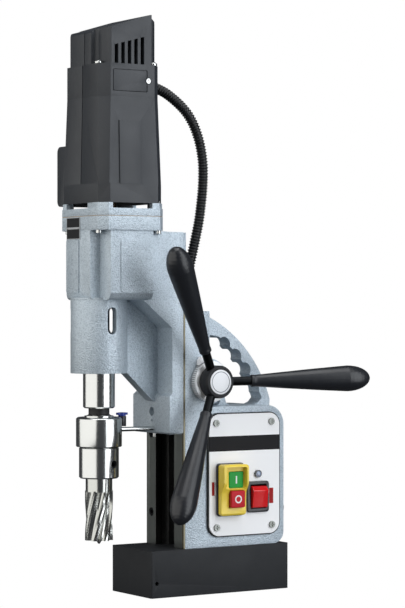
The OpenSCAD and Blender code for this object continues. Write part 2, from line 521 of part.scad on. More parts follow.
module brush_covers() color([0.16, 0.17, 0.18]) for (s = [-1, 1]) difference() {
    across(s > 0 ? 38.6 : -40.3, s > 0 ? 40.3 : -38.6) rrect([my - 22, 504.6], [my + 16.5, 525.3], 1.2);
    xcyl(3.3, s > 0 ? 38 : -42, s > 0 ? 42 : -38, my + 18.4, 515.4);
}
module side_box() color([0.2, 0.21, 0.23]) difference() {
    along(my - 30, my + 22) difference() {
        rrect([-60, 392.5], [-36, 453.5], 6);
        polygon([[-43.4, 380], [0, 380], [0, 460], [-41.7, 460], [-42.9, 413], [-43.5, 413], [-43.5, 380]]);
    }
    box([-57.6, my - 27.5, 397], [-46, my + 19.5, 449]);
}
module stator() color([0.45, 0.36, 0.3]) difference() {
    zcyl(31.95, 418, 478, 0, my);
    zcyl(19.8, 417, 479, 0, my);
    for (s = [-1, 1]) translate([0, my, 410]) rotate([0, 0, s > 0 ? 0 : 180]) linear_extrude(height = 80)
        polygon([[17, 8], [26, 12], [26, 20], [17, 20]]);
}
module brush_holders() color([0.72, 0.58, 0.3]) for (s = [-1, 1]) box([s > 0 ? 13.4 : -36.5, my - 3.9, 485], [s > 0 ? 36.5 : -13.4, my + 3.9, 492.5]);
module ring(ro, ri, z0, z1, x, y) difference() { zcyl(ro, z0, z1, x, y); zcyl(ri, z0 - 1, z1 + 1, x, y); }
module bearings() color([0.8, 0.81, 0.83]) {
    ring(21, 16.04, 229, 240.5, 0, sy);
    ring(21, 16.04, 291.5, 302.8, 0, sy);
    ring(8, 5.04, 303.5, 308.8, lx, ly);
    ring(8, 5.04, 368.2, 373.2, lx, ly);
    ring(11, 4.04, 375, 382, 0, my);
    ring(11, 4.04, 494.2, 501, 0, my);
}
module label_plate() color([0.1, 0.1, 0.11]) union() {
    box([-25.4, my - 38.3, 358.4], [1.2, my - 37.5, 380.1]);
    for (x = [-24, -2]) ycyl(1.2, my - 38.9, my - 38.3, x, 369.3);
}
module conduit_gland_upper() color([0.12, 0.12, 0.13]) difference() {
    union() {
        ycyl(6, my + 24, my + 34.8, 0, 517);
        translate([0, my + 34.8, 517]) rotate([-90, 0, 0]) cylinder(r = 8.6, h = 4, $fn = 6);
        ycyl(7, my + 38.8, my + 42.8, 0, 516.4);
    }
    ycyl(3, my + 20, my + 50, 0, 516.6);
}
// a tube of radius r swept along the route, with flat ends
function hd(i) = let(a = hose[max(0, i - 1)], b = hose[min(len(hose) - 1, i + 1)], d = b - a) d / norm(d);
module tube(route, r, n) polyhedron(
    points = [for (i = [0:len(route) - 1]) let(t = hd(i)) for (j = [0:n - 1])
        let(a = 360 * j / n) [r * cos(a), route[i][0] - t[1] * r * sin(a), route[i][1] + t[0] * r * sin(a)]],
    faces = concat([[for (j = [0:n - 1]) j]], [[for (j = [n - 1:-1:0]) (len(route) - 1) * n + j]],
        [for (i = [0:len(route) - 2], j = [0:n - 1]) let(k = (j + 1) % n) each [[i * n + j, (i + 1) * n + j, (i + 1) * n + k], [i * n + j, (i + 1) * n + k, i * n + k]]]));
module conduit() color([0.1, 0.1, 0.11]) tube(hose, hose_r, 12);
module coolant_ring() color([0.8, 0.81, 0.83]) difference() {
    union() {
        translate([0, sy, 0]) rotate_extrude($fn = 96) polygon([[12.58, 151], [22.2, 151], [23, 151.8], [23, 179], [21.5, 180.5], [14.6, 180.5], [14.6, 182], [12.58, 182]]);
    }
    ycyl(2.3, -101, -95, 4.7, 167.8);
    ycyl(2.4, -101, -90, -2.2, 174.8);
    // inner coolant groove
    translate([0, sy, 0]) rotate_extrude($fn = 96) polygon([[12, 170], [15, 170], [15, 176], [12, 176]]);
}
module coolant_rod() color([0.78, 0.79, 0.8]) union() {
    ycyl(2.28, -100.5, -50.3, 4.7, 167.8);
    difference() {
        zcyl(1.9, 159.2, 167.5, 0.5, -55.5);
        translate([0.5, -55.5, 158]) cylinder(r = 1.1, h = 2.6, $fn = 6);
    }
}
module coolant_elbow() color([0.1, 0.1, 0.11]) difference() {
    union() {
        ycyl(2.38, -101, -93, -2.2, 174.8);
        zcyl(4.3, 170.6, 180.6, -2.2, -92.5);
        xcyl(2.9, -14, -3, -92.5, 174.5);
        for (x = [-14, -11.6, -9.2]) translate([x, -92.5, 174.5]) rotate([0, 90, 0]) cylinder(r1 = 2.9, r2 = 3.6, h = 1.8, $fn = 40);
    }
    ycyl(1.5, -104, -93, -2.2, 174.8);
    xcyl(1.6, -20, -3, -92.5, 174.5);
}
module coolant_tap() color([0.15, 0.25, 0.6]) union() {
    zcyl(3.9, 180.9, 184.4, -2.2, -92.5);
    difference() {
        translate([0, 0, 182]) linear_extrude(height = 2.2) rrect([-4.4, -99], [0, -86], 2.15);
        zcyl(1, 181, 190, -2.2, -97);
    }
}

// ---------- rotating parts ----------
module armature() color([0.5, 0.42, 0.36]) union() {
    zcyl(4, 364, 501, 0, my);
    translate([0, my, 352]) linear_extrude(height = 12) gear2d(1, 9, mesh_a + 160);
    translate([0, my, 363.5]) cylinder(r = 3.6, h = 2, $fn = 48);
    zcyl(19, 420, 476, 0, my);
    zcyl(13, 481, 492.8, 0, my);
    difference() {
        zcyl(27, 399, 409, 0, my);
        translate([0, my, 0]) for (i = [0:11]) rotate([0, 0, i * 30]) box([14, -3.6, 402], [40, 3.6, 420]);
    }
}
module layshaft() color([0.55, 0.56, 0.58]) translate([lx, ly, 0]) union() {
    zcyl(5, 304, 373);
    translate([0, 0, 353]) linear_extrude(height = 10) gear2d(1, 31, mesh_a, 0.75);
    translate([0, 0, 318]) linear_extrude(height = 22) gear2d(1.25, 11, mesh_b - 180 - 180 / 11);
}
module spindle() color([0.86, 0.87, 0.88]) translate([0, sy, 0]) difference() {
    rotate_extrude($fn = 96) polygon([[0, 189.6], [14.6, 189.6], [16, 191], [16, 257], [10, 259.5], [10, 290], [16, 291.3], [16, 303.2], [10, 303.2], [10, 344], [9, 345], [0, 345]]);
    translate([0, 0, 180]) cylinder(r = 9, h = 37, $fn = 64);
}
module spindle_gear() color([0.55, 0.56, 0.58]) translate([0, sy, 0]) difference() {
    translate([0, 0, 321]) linear_extrude(height = 16) gear2d(1.25, 26, mesh_b, 0.8);
    zcyl(10, 310, 350);
}
module arbor() color([0.8, 0.81, 0.83]) translate([0, sy, 0]) difference() {
    rotate_extrude($fn = 96) polygon([[0, 119.5], [18.6, 119.5], [20, 120.9], [20, 149.5], [19, 150.5], [12.5, 150.5], [12.5, 182], [10.5, 183.5],
                                      [10.5, 189.6], [8.98, 189.6], [8.98, 215.5], [0, 215.5]]);
    translate([0, 0, 110]) cylinder(r = 9.5, h = 38.5, $fn = 64);
    translate([0, 0, 110]) cylinder(r = 3.25, h = 100, $fn = 48);
    for (a = [20, 110]) rotate([0, 0, a]) translate([0, 0, 134]) rotate([0, 90, 0]) cylinder(r = 4, h = 30, $fn = 40);
}
module arbor_set_screws() color([0.15, 0.15, 0.16]) translate([0, sy, 0]) for (a = [20, 110]) rotate([0, 0, a]) difference() {
    translate([9.5, 0, 134]) rotate([0, 90, 0]) cylinder(r = 3.98, h = 9.3, $fn = 40);
    translate([15, 0, 134]) rotate([0, 90, 0]) cylinder(r = 2, h = 6, $fn = 6);
}
cr = cutter_d / 2;
module cutter() color([0.72, 0.74, 0.76]) translate([0, sy, 0]) difference() {
    union() {
        zcyl(9.48, 118, 146);
        zcyl(cr - 0.6, 106, 119.2);
        intersection() {
            translate([0, 0, 107]) mirror([0, 0, 1]) linear_extrude(height = 49.6, twist = flute_twist, slices = 20)
                polygon([for (i = [0:flute_n - 1]) let(s = 360 / flute_n) each [
                    pol(cr, s * i), pol(cr, s * i + s * 0.14), pol(cr - 0.5, s * i + s * 0.28), pol(cr - 1.4, s * i + s * 0.42),
                    pol(cr - 3.1, s * i + s * 0.56), pol(cr - 4.1, s * i + s * 0.7), pol(cr - 4.1, s * i + s * 0.84), pol(cr - 3.2, s * i + s * 0.95)]]);
            zcyl(cr + 1, 57.4, 107);
        }
    }
    zcyl(8.4, 50, 103);
    zcyl(3.25, 100, 150);
    for (i = [0:flute_n - 1]) rotate([0, 0, i * 360 / flute_n + flute_twist * 0 + 40]) translate([8, 0, 57.4]) rotate([0, 45, 0]) box([-1.2, -0.1, -1.2], [1.2, 5, 1.2]);
}
module pilot_pin() color([0.85, 0.86, 0.87]) translate([0, sy, 0])
    rotate_extrude($fn = 48) polygon([[0, 53.4], [1.2, 54.2], [3.18, 58], [3.18, 160], [0, 160]]);

magnet_base();
magnet_coil();
magnet_potting();
stand_housing();
carry_handle();
guide_rails();
rail_screws();
gib_strip();
base_bolts();
panel_plate();
panel_gasket();
panel_screws();
switch_base();
switch_frame();
rocker_frame();
indicator_led();
circuit_board();
pinion_bushings();
index_plate();
mains_gland();
conduit_gland_lower();
pinion_shaft();
scale_ring();
capstan_hub();
hub_cap();
lever_rods();
lever_grips();
gear_housing();
spindle_barrel();
slide_plate();
feed_rack();
gearbox_flange();
flange_screws();
motor_housing();
motor_cap();
cap_screws();
brush_covers();
side_box();
stator();
brush_holders();
bearings();
label_plate();
conduit_gland_upper();
conduit();
coolant_ring();
coolant_rod();
coolant_elbow();
armature();
layshaft();
spindle();
spindle_gear();
arbor();
arbor_set_screws();
cutter();
pilot_pin();
coolant_tap();
start_button();
stop_button();
magnet_rocker();
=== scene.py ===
import bpy, bmesh, json, math, random
from mathutils import Vector, Matrix

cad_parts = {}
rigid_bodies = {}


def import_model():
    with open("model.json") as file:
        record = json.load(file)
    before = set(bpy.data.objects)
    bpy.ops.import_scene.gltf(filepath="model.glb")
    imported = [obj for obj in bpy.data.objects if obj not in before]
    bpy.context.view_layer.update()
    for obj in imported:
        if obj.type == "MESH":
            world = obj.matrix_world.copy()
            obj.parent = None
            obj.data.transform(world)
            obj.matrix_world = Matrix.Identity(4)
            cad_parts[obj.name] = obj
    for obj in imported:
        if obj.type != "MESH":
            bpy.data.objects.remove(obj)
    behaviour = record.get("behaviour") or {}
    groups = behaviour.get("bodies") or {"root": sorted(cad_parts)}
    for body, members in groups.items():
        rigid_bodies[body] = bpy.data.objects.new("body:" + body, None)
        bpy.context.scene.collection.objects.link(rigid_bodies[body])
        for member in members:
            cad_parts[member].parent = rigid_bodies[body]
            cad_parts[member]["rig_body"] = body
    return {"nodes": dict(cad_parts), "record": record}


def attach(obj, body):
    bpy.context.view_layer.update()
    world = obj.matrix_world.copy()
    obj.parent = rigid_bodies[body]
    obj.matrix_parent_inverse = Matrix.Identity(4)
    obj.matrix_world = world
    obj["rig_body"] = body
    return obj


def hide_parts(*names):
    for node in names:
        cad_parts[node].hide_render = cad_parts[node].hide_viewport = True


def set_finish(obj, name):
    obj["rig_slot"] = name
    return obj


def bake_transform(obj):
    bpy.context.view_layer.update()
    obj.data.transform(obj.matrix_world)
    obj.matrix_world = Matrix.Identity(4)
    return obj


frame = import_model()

random.seed(7)
N = frame["nodes"]
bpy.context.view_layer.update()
mm = 0.001
scene = bpy.context.scene


def V(x, y, z):
    return Vector((x * mm, y * mm, z * mm))


# ------------------------------------------------------------------ camera
cam_data = bpy.data.cameras.new("camera")
cam = bpy.data.objects.new("camera", cam_data)
scene.collection.objects.link(cam)
cam.location = (1.98396, -1.25666, 0.29574)
cam.rotation_euler = Vector((-0.8443, 0.5358, 0.0)).to_track_quat("-Z", "Y").to_euler()
cam_data.sensor_width = 36.0
cam_data.lens = 135.06
cam_data.shift_y = -0.0033
cam_data.clip_start = 0.05
cam_data.clip_end = 60
cam_data.dof.use_dof = False
scene.camera = cam

# ------------------------------------------------------------------ conduit route, as in the CAD
HOSE = [(-60, 515.2), (-52, 512.5), (-43, 509), (-34.5, 504), (-25, 497.2), (-17, 489.7), (-10.5, 481), (-5.6, 471.5),
        (-1.8, 461.4), (0.8, 451), (2.3, 441.5), (3, 431.5), (2.6, 416), (1.1, 400.7), (-1.9, 380), (-6, 362),
        (-10, 346), (-13, 334), (-15.5, 322), (-17.4, 310), (-18.6, 299), (-19, 295)]


def catmull(pts, n):
    out = []
    for i in range(len(pts) - 1):
        p0 = pts[max(0, i - 1)]; p1 = pts[i]; p2 = pts[i + 1]; p3 = pts[min(len(pts) - 1, i + 2)]
        for k in range(n):
            t = k / n
            out.append(0.5 * ((2 * p1) + (p2 - p0) * t + (2 * p0 - 5 * p1 + 4 * p2 - p3) * t * t + (3 * p1 - p0 - 3 * p2 + p3) * t ** 3))
    out.append(pts[-1].copy())
    return out


def resample(pts, step):
    d = [0.0]
    for a, b in zip(pts, pts[1:]):
        d.append(d[-1] + (b - a).length)
    n = max(2, int(round(d[-1] / step)))
    res, j = [], 0
    for i in range(n + 1):
        s = d[-1] * i / n
        while j < len(d) - 2 and d[j + 1] < s:
            j += 1
        t = (s - d[j]) / max(1e-9, d[j + 1] - d[j])
        res.append(pts[j].lerp(pts[j + 1], t))
    return res, d[-1]


route = catmull([V(0, y, z) for y, z in HOSE], 12)
RIB = 3.0 * mm
SUB = 8
line, hose_len = resample(route, RIB / SUB)


def mesh_obj(name, bm, body, mat=None, smooth=True, slot=None):
    me = bpy.data.meshes.new(name)
    bm.normal_update()
    bm.to_mesh(me)
    bm.free()
    ob = bpy.data.objects.new(name, me)
    scene.collection.objects.link(ob)
    if smooth:
        for p in me.polygons:
            p.use_smooth = True
    if mat:
        me.materials.append(mat)
    if body:
        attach(ob, body)
    if slot:
        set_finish(ob, slot)
    return ob


def tube_mesh(line, radius, sides):
    bm = bmesh.new()
    rings = []
    for i, p in enumerate(line):
        t = (line[min(len(line) - 1, i + 1)] - line[max(0, i - 1)]).normalized()
        side = Vector((1, 0, 0))
        up = t.cross(side).normalized()
        r = radius(i)
        rings.append([bm.verts.new(p + side * (r * math.cos(2 * math.pi * k / sides)) + up * (r * math.sin(2 * math.pi * k / sides))) for k in range(sides)])
    for a, b in zip(rings, rings[1:]):
        for k in range(sides):
            bm.faces.new((a[k], a[(k + 1) % sides], b[(k + 1) % sides], b[k]))
    bm.faces.new(list(reversed(rings[0])))
    bm.faces.new(rings[-1])
    bmesh.ops.recalc_face_normals(bm, faces=bm.faces[:])
    return bm


def rib_radius(i):
    ph = (i % SUB) / SUB
    c = math.cos(2 * math.pi * ph)
    return (4.82 + 0.55 * max(-1.0, min(1.0, 1.7 * c))) * mm


conduit = mesh_obj("conduit_ribbed", tube_mesh(line, rib_radius, 28), None)

# ------------------------------------------------------------------ materials


def srgb(r, g, b):
    f = lambda c: c / 12.92 if c <= 0.04045 else ((c + 0.055) / 1.055) ** 2.4
    return (f(r), f(g), f(b), 1.0)


class Mat:
    """Small helper that builds one procedural material from named nodes."""

    def __init__(self, name):
        self.m = bpy.data.materials.new(name)
        self.m.use_nodes = True
        self.t = self.m.node_tree
        self.b = self.t.nodes["Principled BSDF"]
        self.co = self.t.nodes.new("ShaderNodeTexCoord")

    def node(self, kind, **kw):
        n = self.t.nodes.new(kind)
        for k, v in kw.items():
            setattr(n, k, v)
        return n

    def link(self, a, b):
        self.t.links.new(a, b)

    def coord(self, scale=(1, 1, 1), rot=(0, 0, 0)):
        mp = self.node("ShaderNodeMapping")
        mp.inputs["Scale"].default_value = scale
        mp.inputs["Rotation"].default_value = rot
        self.link(self.co.outputs["Object"], mp.inputs["Vector"])
        return mp.outputs["Vector"]

    def noise(self, scale, detail=3, rough=0.5, vec=None, dist=0.0):
        n = self.node("ShaderNodeTexNoise")
        n.inputs["Scale"].default_value = scale
        n.inputs["Detail"].default_value = detail
        n.inputs["Roughness"].default_value = rough
        n.inputs["Distortion"].default_value = dist
        self.link(vec or self.co.outputs["Object"], n.inputs["Vector"])
        return n.outputs["Fac"]

    def voronoi(self, scale, feature="SMOOTH_F1", vec=None, out="Distance", smooth=0.6):
        n = self.node("ShaderNodeTexVoronoi", feature=feature)
        n.inputs["Scale"].default_value = scale
        if feature == "SMOOTH_F1":
            n.inputs["Smoothness"].default_value = smooth
        self.link(vec or self.co.outputs["Object"], n.inputs["Vector"])
        return n.outputs[out]

    def ramp(self, fac, stops, interp="LINEAR"):
        n = self.node("ShaderNodeValToRGB")
        n.color_ramp.interpolation = interp
        e = n.color_ramp.elements
        while len(e) < len(stops):
            e.new(0.5)
        for el, (p, c) in zip(e, stops):
            el.position = p
            el.color = c if len(c) == 4 else (*c, 1.0)
        self.link(fac, n.inputs["Fac"])
        return n.outputs["Color"]

    def rng(self, fac, a, b, lo=0.0, hi=1.0):
        n = self.node("ShaderNodeMapRange")
        n.inputs["From Min"].default_value = lo
        n.inputs["From Max"].default_value = hi
        n.inputs["To Min"].default_value = a
        n.inputs["To Max"].default_value = b
        self.link(fac, n.inputs["Value"])
        return n.outputs["Result"]

    def math(self, op, a, b=None, clamp=False):
        n = self.node("ShaderNodeMath", operation=op, use_clamp=clamp)
        for i, x in enumerate((a, b)):
            if x is None:
                continue
            if isinstance(x, (int, float)):
                n.inputs[i].default_value = x
            else:
                self.link(x, n.inputs[i])
        return n.outputs[0]

    def mix(self, fac, a, b, blend="MIX"):
        n = self.node("ShaderNodeMix", data_type="RGBA", blend_type=blend)
        for sock, x in ((n.inputs[0], fac), (n.inputs[6], a), (n.inputs[7], b)):
            if hasattr(x, "links"):
                self.link(x, sock)
            elif sock == n.inputs[0]:
                sock.default_value = x
            else:
                sock.default_value = x if len(x) == 4 else (*x, 1.0)
        return n.outputs[2]

    def sep(self):
        n = self.node("ShaderNodeSeparateXYZ")
        self.link(self.co.outputs["Object"], n.inputs[0])
        return n.outputs

    def bump(self, height, strength=0.3, dist=0.0005, prev=None):
        n = self.node("ShaderNodeBump")
        n.inputs["Strength"].default_value = strength
        n.inputs["Distance"].default_value = dist
        self.link(height, n.inputs["Height"])
        if prev is not None:
            self.link(prev, n.inputs["Normal"])
        return n.outputs["Normal"]

    def inside(self, **lim):
        """1 where the object coordinates lie within the limits, given in mm, as x=(a, b)."""
        c = self.sep()
        out = None
        for ax, (a, b) in lim.items():
            v = c["xyz".index(ax)]
            m = self.math("MULTIPLY", self.math("GREATER_THAN", v, a * mm), self.math("LESS_THAN", v, b * mm))
            out = m if out is None else self.math("MULTIPLY", out, m)
        return out

    def radius(self, axes, centre):
        """Distance in metres from a line parallel to an axis."""
        c = self.sep()
        d = [self.math("SUBTRACT", c["xyz".index(a)], v * mm) for a, v in zip(axes, centre)]
        return self.math("SQRT", self.math("ADD", self.math("MULTIPLY", d[0], d[0]), self.math("MULTIPLY", d[1], d[1]))), d

    def wear(self, lo=0.5, hi=0.56):
        """Pointiness of convex edges, 0 to 1."""
        g = self.node("ShaderNodeNewGeometry")
        return self.rng(g.outputs["Pointiness"], 0.0, 1.0, lo, hi)

    def set(self, color=None, rough=None, metal=None, normal=None, **const):
        for key, val in (("Base Color", color), ("Roughness", rough), ("Metallic", metal), ("Normal", normal)):
            if val is None:
                continue
            s = self.b.inputs[key]
            if hasattr(val, "links"):
                self.link(val, s)
            else:
                s.default_value = val
        for k, v in const.items():
            self.b.inputs[k.replace("_", " ")].default_value = v
        return self.m


def cast_paint():
    k = Mat("hammered_enamel")
    cells = k.voronoi(850, "SMOOTH_F1", smooth=0.8)
    fine = k.noise(1900, 2, 0.6)
    blot = k.noise(420, 3, 0.6, dist=0.4)
    broad = k.noise(22, 3, 0.5)
    h = k.math("ADD", k.math("MULTIPLY", cells, 0.9), k.math("MULTIPLY", blot, 0.8))
    col = k.ramp(h, [(0.30, srgb(0.545, 0.61, 0.66)), (0.55, srgb(0.625, 0.685, 0.73)), (0.9, srgb(0.76, 0.81, 0.85))])
    col = k.mix(k.rng(fine, 0.0, 0.45, 0.45, 0.75), col, srgb(0.86, 0.89, 0.92))
    col = k.mix(k.rng(broad, 0.0, 0.12, 0.35, 0.7), col, srgb(0.5, 0.55, 0.61))
    # painted shade: the column's channel between the rails, behind the slide, and the inside of the bracket's mounting
    # hole are coloured near black, with no metallic, where they lie in shade
    dark = k.inside(x=(-31, 31), y=(-42.6, -20), z=(40, 286))
    r, d = k.radius("xz", (0.5, 184.8))
    hole = k.math("MULTIPLY", k.math("LESS_THAN", r, 0.00445), k.inside(y=(-61.5, -45)))
    dark = k.math("MAXIMUM", dark, hole)
    col = k.mix(dark, col, srgb(0.06, 0.065, 0.065))
    nrm = k.bump(h, 0.7, 0.0008)
    nrm = k.bump(fine, 0.2, 0.0002, nrm)
    rough = k.rng(h, 0.30, 0.46, 0.3, 0.9)
    return k.set(col, rough, k.math("MULTIPLY", k.math("SUBTRACT", 1.0, dark), 0.32), nrm, Coat_Weight=0.25, Coat_Roughness=0.22, Specular_IOR_Level=0.6)


def plastic(name, c, rough=(0.42, 0.55), grain=0.12, scale=2600, coat=0.0, tint=None, spec=0.5):
    k = Mat(name)
    g = k.noise(scale, 2, 0.55)
    broad = k.noise(26, 4, 0.6)
    hi = tint or tuple(min(1, x * 1.25 + 0.01) for x in c)
    col = k.mix(k.rng(g, 0.0, 0.5, 0.35, 0.7), srgb(*c), srgb(*hi))
    col = k.mix(k.rng(broad, 0.0, 0.25, 0.4, 0.75), col, srgb(*(x * 0.86 for x in c)))
    nrm = k.bump(g, grain, 0.00015)
    r = k.rng(k.math("ADD", k.math("MULTIPLY", g, 0.5), k.math("MULTIPLY", broad, 0.5)), rough[0], rough[1], 0.35, 0.65)
    return k.set(col, r, 0.0, nrm, Coat_Weight=coat, Specular_IOR_Level=spec)


def metal(name, c, rough=(0.1, 0.2), lines=(1, 1, 900), strength=0.04, metalness=1.0, smudge=0.12, aniso=0.0):
    k = Mat(name)
    v = k.coord(lines)
    s = k.noise(6, 5, 0.65, vec=v)
    sm = k.noise(45, 4, 0.6)
    col = k.mix(k.rng(s, 0.0, 0.6, 0.3, 0.75), srgb(*c), srgb(*(min(1, x * 1.12) for x in c)))
    col = k.mix(k.rng(sm, 0.0, smudge, 0.5, 0.8), col, srgb(*(x * 0.72 for x in c)))
    r = k.rng(k.math("ADD", k.math("MULTIPLY", s, 0.6), k.math("MULTIPLY", sm, 0.4)), rough[0], rough[1], 0.35, 0.7)
    nrm = k.bump(s, strength, 0.0001)
    return k.set(col, r, metalness, nrm, Anisotropic=aniso)


def panel_material():
    k = Mat("white_panel_print")
    g = k.noise(900, 2, 0.5)
    broad = k.noise(30, 3, 0.5)
    white = k.mix(k.rng(broad, 0.0, 0.2, 0.4, 0.7), srgb(0.99, 0.99, 0.995), srgb(0.965, 0.97, 0.98))
    dark = k.mix(k.rng(g, 0, 0.5, 0.4, 0.7), srgb(0.105, 0.105, 0.115), srgb(0.14, 0.14, 0.15))
    col = k.mix(k.inside(z=(144.0, 159.3)), white, dark)
    red = k.mix(k.rng(g, 0, 0.3, 0.4, 0.7), srgb(0.64, 0.12, 0.13), srgb(0.74, 0.2, 0.2))
    col = k.mix(k.inside(y=(58.6, 63.8), z=(88.8, 104.6)), col, red)
    col = k.mix(k.inside(y=(-11.2, -8.0), z=(99.4, 113.2)), col, red)
    ink = k.math("MAXIMUM", k.inside(z=(144.0, 159.3)), k.math("MAXIMUM", k.inside(y=(58.6, 63.8), z=(88.8, 104.6)), k.inside(y=(-11.2, -8.0), z=(99.4, 113.2))))
    rough = k.math("ADD", k.rng(g, 0.30, 0.36, 0.4, 0.7), k.math("MULTIPLY", ink, 0.5))
    return k.set(col, rough, 0.0, k.bump(g, 0.05, 0.0001), Specular_IOR_Level=0.35)


def scale_material():
    """Turned ring with engraved graduations and a knurled look near the stand."""
    k = Mat("graduated_ring")
    s = k.noise(6, 5, 0.65, vec=k.coord((1400, 1, 1)))
    r, d = k.radius("yz", (-13.7, 215.3))
    ang = k.math("ARCTAN2", d[0], d[1])
    step = k.math("FRACT", k.math("MULTIPLY", ang, 60 / (2 * math.pi)))
    tick = k.math("MULTIPLY", k.math("LESS_THAN", step, 0.22), k.inside(x=(36, 43.0)))
    col = k.mix(k.rng(s, 0, 0.6, 0.3, 0.75), srgb(0.84, 0.845, 0.85), srgb(0.93, 0.935, 0.94))
    col = k.mix(tick, col, srgb(0.12, 0.12, 0.13))
    return k.set(col, k.rng(s, 0.32, 0.44, 0.35, 0.7), k.math("SUBTRACT", 0.45, k.math("MULTIPLY", tick, 0.45)), k.bump(tick, 0.4, 0.0003))


def emblem_material():
    k = Mat("hub_disc")
    g = k.noise(900, 2, 0.5)
    r, d = k.radius("yz", (-13.7, 215.3))
    ring = k.math("MULTIPLY", k.math("GREATER_THAN", r, 0.0098), k.math("LESS_THAN", r, 0.0106))
    col = k.mix(k.rng(g, 0, 0.4, 0.4, 0.7), srgb(0.90, 0.905, 0.92), srgb(0.94, 0.945, 0.955))
    col = k.mix(ring, col, srgb(0.45, 0.47, 0.5))
    return k.set(col, k.rng(g, 0.28, 0.4), 0.0, k.bump(ring, 0.3, 0.0002), Coat_Weight=0.4, Coat_Roughness=0.1)


def plate_material():
    """Name plate left blank: a dark field crossed by a silver strip."""
    k = Mat("blank_name_plate")
    g = k.noise(1200, 2, 0.5)
    strip = k.inside(z=(368.4, 370.3))
    rim = k.math("SUBTRACT", 1.0, k.inside(x=(-24.8, 0.6), z=(359.0, 379.5)))
    m = k.math("MAXIMUM", strip, rim)
    col = k.mix(k.rng(g, 0, 0.5, 0.4, 0.7), srgb(0.085, 0.087, 0.095), srgb(0.13, 0.133, 0.14))
    col = k.mix(m, col, srgb(0.72, 0.73, 0.74))
    return k.set(col, k.rng(g, 0.55, 0.68), k.math("MULTIPLY", m, 0.5), k.bump(m, 0.3, 0.0002), Specular_IOR_Level=0.3)


def arbor_material():
    k = Mat("turned_arbor")
    s = k.noise(6, 5, 0.65, vec=k.coord((1.2, 1.2, 1400)))
    r, d = k.radius("xy", (0, -120.4))
    seal = k.math("MULTIPLY", k.inside(z=(183.0, 189.4)), k.math("LESS_THAN", r, 0.0135))
    col = k.mix(k.rng(s, 0, 0.6, 0.3, 0.75), srgb(0.80, 0.805, 0.80), srgb(0.9, 0.9, 0.895))
    col = k.mix(seal, col, srgb(0.07, 0.07, 0.075))
    return k.set(col, k.math("ADD", k.rng(s, 0.15, 0.24, 0.35, 0.7), k.math("MULTIPLY", seal, 0.4)), k.math("SUBTRACT", 1.0, seal), k.bump(s, 0.035, 0.0001))


def stop_material():
    """Red button face; the flanks carry painted shade, darkened to orange-brown like the shaded sides of the clear red
    cover.
    """
    k = Mat("red_button_painted_flank_shade")
    g = k.noise(1400, 2, 0.55)
    painted_flank_shade = k.inside(x=(30, 50.4))
    col = k.mix(k.rng(g, 0, 0.5, 0.35, 0.7), srgb(0.76, 0.05, 0.13), srgb(0.80, 0.1, 0.17))
    # painted shade: the flanks are mixed towards dull orange-brown
    col = k.mix(k.math("MULTIPLY", painted_flank_shade, 0.55), col, srgb(0.55, 0.28, 0.12))
    return k.set(col, k.rng(g, 0.5, 0.62), 0.0, k.bump(g, 0.05, 0.0001), Specular_IOR_Level=0.3)


def pcb_material():
    k = Mat("green_laminate")
    w = k.node("ShaderNodeTexBrick")
    w.inputs["Scale"].default_value = 220
    k.link(k.co.outputs["Object"], w.inputs["Vector"])
    w.inputs["Color1"].default_value = srgb(0.1, 0.36, 0.2)
    w.inputs["Color2"].default_value = srgb(0.12, 0.42, 0.22)
    w.inputs["Mortar"].default_value = srgb(0.55, 0.5, 0.3)
    return k.set(w.outputs["Color"], k.rng(k.noise(400), 0.3, 0.5), 0.0, k.bump(w.outputs["Fac"], 0.2, 0.0002))


def lamination_material():
    k = Mat("varnished_laminations")
    v = k.coord((1, 1, 1400))
    s = k.noise(3, 2, 0.4, vec=v)
    col = k.ramp(s, [(0.35, srgb(0.24, 0.2, 0.17)), (0.6, srgb(0.5, 0.42, 0.34))])
    return k.set(col, k.rng(s, 0.3, 0.5), 0.6, k.bump(s, 0.3, 0.0002))


def conduit_material():
    k = Mat("ribbed_conduit")
    g = k.noise(700, 3, 0.5)
    broad = k.noise(60, 3, 0.5)
    col = k.mix(k.rng(g, 0, 0.5, 0.4, 0.7), srgb(0.075, 0.078, 0.085), srgb(0.13, 0.135, 0.145))
    return k.set(col, k.rng(broad, 0.3, 0.42, 0.35, 0.65), 0.0, k.bump(g, 0.1, 0.0001), Specular_IOR_Level=0.5)


def lens_material():
    k = Mat("led_lens_and_bezel")
    # painted shade: the lens colour runs from pale blue where it faces the view to darker blue towards its grazing edge
    # (Layer Weight Facing)
    f = k.node("ShaderNodeLayerWeight")
    f.inputs["Blend"].default_value = 0.4
    g = k.voronoi(1600, "F1")
    r, d = k.radius("yz", (44.3, 119.8))
    bezel = k.math("GREATER_THAN", r, 0.00292)
    col = k.mix(f.outputs["Facing"], srgb(0.66, 0.72, 0.82), srgb(0.3, 0.36, 0.5))
    col = k.mix(k.rng(g, 0.0, 0.3), col, srgb(0.84, 0.88, 0.94))
    col = k.mix(bezel, col, srgb(0.09, 0.093, 0.1))
    return k.set(col, k.rng(g, 0.08, 0.16), 0.0, k.bump(g, 0.08, 0.0001), Coat_Weight=0.6, Coat_Roughness=0.05)


